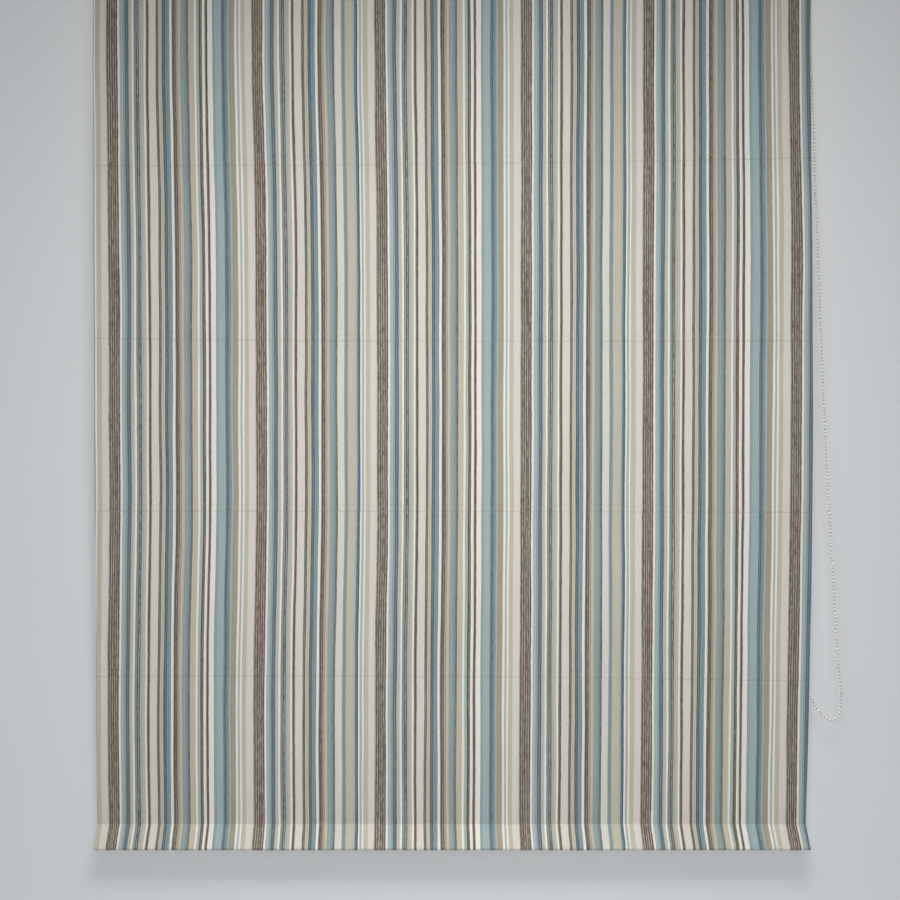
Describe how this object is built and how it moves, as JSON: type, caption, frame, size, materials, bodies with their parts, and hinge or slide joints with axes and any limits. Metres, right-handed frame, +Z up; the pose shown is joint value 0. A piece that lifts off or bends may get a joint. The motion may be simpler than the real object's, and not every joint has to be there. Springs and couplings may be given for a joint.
{
  "type": "roman blind",
  "caption": "Wall-mounted roman blind: flat striped cloth stiffened by rods, raised by tapes on a chain-driven shaft in a headrail.",
  "frame": {"origin": "middle of the centre wall bracket's back face, on the wall", "axes": "+X to the viewer's right along the headrail, +Y into the wall, +Z up"},
  "size_m": [1.2543, 0.0523, 1.601],
  "materials": {
    "face_cloth": "striped linen weave",
    "lining_cloth": "plain cotton weave",
    "web_tape": "woven tape",
    "grip_tape": "hook and loop pile",
    "rail_aluminium": "white powder coat",
    "bar_aluminium": "mill finish",
    "white_steel": "white powder coat",
    "bright_steel": "zinc plate",
    "white_plastic": "fine texture",
    "natural_plastic": "satin",
    "glass_fibre": "pultruded rod",
    "bead_plastic": "polished beads"
  },
  "bodies": {
    "headrail_set": {"face_fabric": "face_cloth", "lining": "lining_cloth", "lift_tape_1": "web_tape", "lift_tape_2": "web_tape", "lift_tape_3": "web_tape", "hook_tape": "grip_tape", "loop_tape": "grip_tape", "headrail": "rail_aluminium", "wall_bracket_1": "white_steel", "wall_bracket_2": "white_steel", "wall_bracket_3": "white_steel", "end_cap_left": "white_plastic", "control_housing": "white_plastic", "control_cover": "white_plastic", "reel_cradle_1": "white_plastic", "reel_cradle_2": "white_plastic", "reel_cradle_3": "white_plastic", "bead_chain": "bead_plastic"},
    "drive_train": {"sprocket": "natural_plastic", "brake_spring": "bright_steel", "drive_shaft": "bright_steel", "reel_1": "natural_plastic", "reel_2": "natural_plastic", "reel_3": "natural_plastic"},
    "rod_1_set": {"rod_1": "glass_fibre", "rod_caps_1": "natural_plastic", "tape_guides_1": "natural_plastic"},
    "rod_2_set": {"rod_2": "glass_fibre", "rod_caps_2": "natural_plastic", "tape_guides_2": "natural_plastic"},
    "rod_3_set": {"rod_3": "glass_fibre", "rod_caps_3": "natural_plastic", "tape_guides_3": "natural_plastic"},
    "rod_4_set": {"rod_4": "glass_fibre", "rod_caps_4": "natural_plastic", "tape_guides_4": "natural_plastic"},
    "rod_5_set": {"rod_5": "glass_fibre", "rod_caps_5": "natural_plastic", "tape_guides_5": "natural_plastic"},
    "bottom_bar_set": {"bottom_bar": "bar_aluminium", "bottom_bar_caps": "natural_plastic", "tape_anchors": "natural_plastic"},
    "latch_1_set": {"latch_1": "white_plastic", "latch_washer_1": "bright_steel"},
    "latch_2_set": {"latch_2": "white_plastic", "latch_washer_2": "bright_steel"},
    "latch_3_set": {"latch_3": "white_plastic", "latch_washer_3": "bright_steel"}
  },
  "joints": [
    {"name": "blind_lift", "type": "slide", "parent": "headrail_set", "child": "bottom_bar_set", "axis": [0, 0, 1], "range_m": [0, 1.2486], "deforming": ["face_fabric", "lining", "lift_tape_1", "lift_tape_2", "lift_tape_3"]},
    {"name": "rod_1_rise", "type": "slide", "parent": "headrail_set", "child": "rod_1_set", "axis": [0, 0, 1], "range_m": [0, 0.0899]},
    {"name": "rod_2_rise", "type": "slide", "parent": "headrail_set", "child": "rod_2_set", "axis": [0, 0, 1], "range_m": [0, 0.3318]},
    {"name": "rod_3_rise", "type": "slide", "parent": "headrail_set", "child": "rod_3_set", "axis": [0, 0, 1], "range_m": [0, 0.5737]},
    {"name": "rod_4_rise", "type": "slide", "parent": "headrail_set", "child": "rod_4_set", "axis": [0, 0, 1], "range_m": [0, 0.8157]},
    {"name": "rod_5_rise", "type": "slide", "parent": "headrail_set", "child": "rod_5_set", "axis": [0, 0, 1], "range_m": [0, 1.0576]},
    {"name": "drive_turn", "type": "hinge", "parent": "headrail_set", "child": "drive_train", "pos_m": [0, -0.028, -0.0084], "axis": [-1, 0, 0], "range_deg": [0, 7531], "deforming": ["bead_chain"]},
    {"name": "latch_1_swivel", "type": "hinge", "parent": "headrail_set", "child": "latch_1_set", "pos_m": [-0.5, -0.028, 0], "axis": [0, 0, 1], "range_deg": [0, 90]},
    {"name": "latch_2_swivel", "type": "hinge", "parent": "headrail_set", "child": "latch_2_set", "pos_m": [0, -0.028, 0], "axis": [0, 0, 1], "range_deg": [0, 90]},
    {"name": "latch_3_swivel", "type": "hinge", "parent": "headrail_set", "child": "latch_3_set", "pos_m": [0.5, -0.028, 0], "axis": [0, 0, 1], "range_deg": [0, 90]}
  ],
  "couplings": [
    {"joint": "rod_1_rise", "follows": "blind_lift", "ratio": 0.071582},
    {"joint": "rod_2_rise", "follows": "blind_lift", "ratio": 0.26534},
    {"joint": "rod_3_rise", "follows": "blind_lift", "ratio": 0.4591},
    {"joint": "rod_4_rise", "follows": "blind_lift", "ratio": 0.65285},
    {"joint": "rod_5_rise", "follows": "blind_lift", "ratio": 0.84661},
    {"joint": "drive_turn", "follows": "blind_lift", "rad_per_m": 105.26}
  ]
}
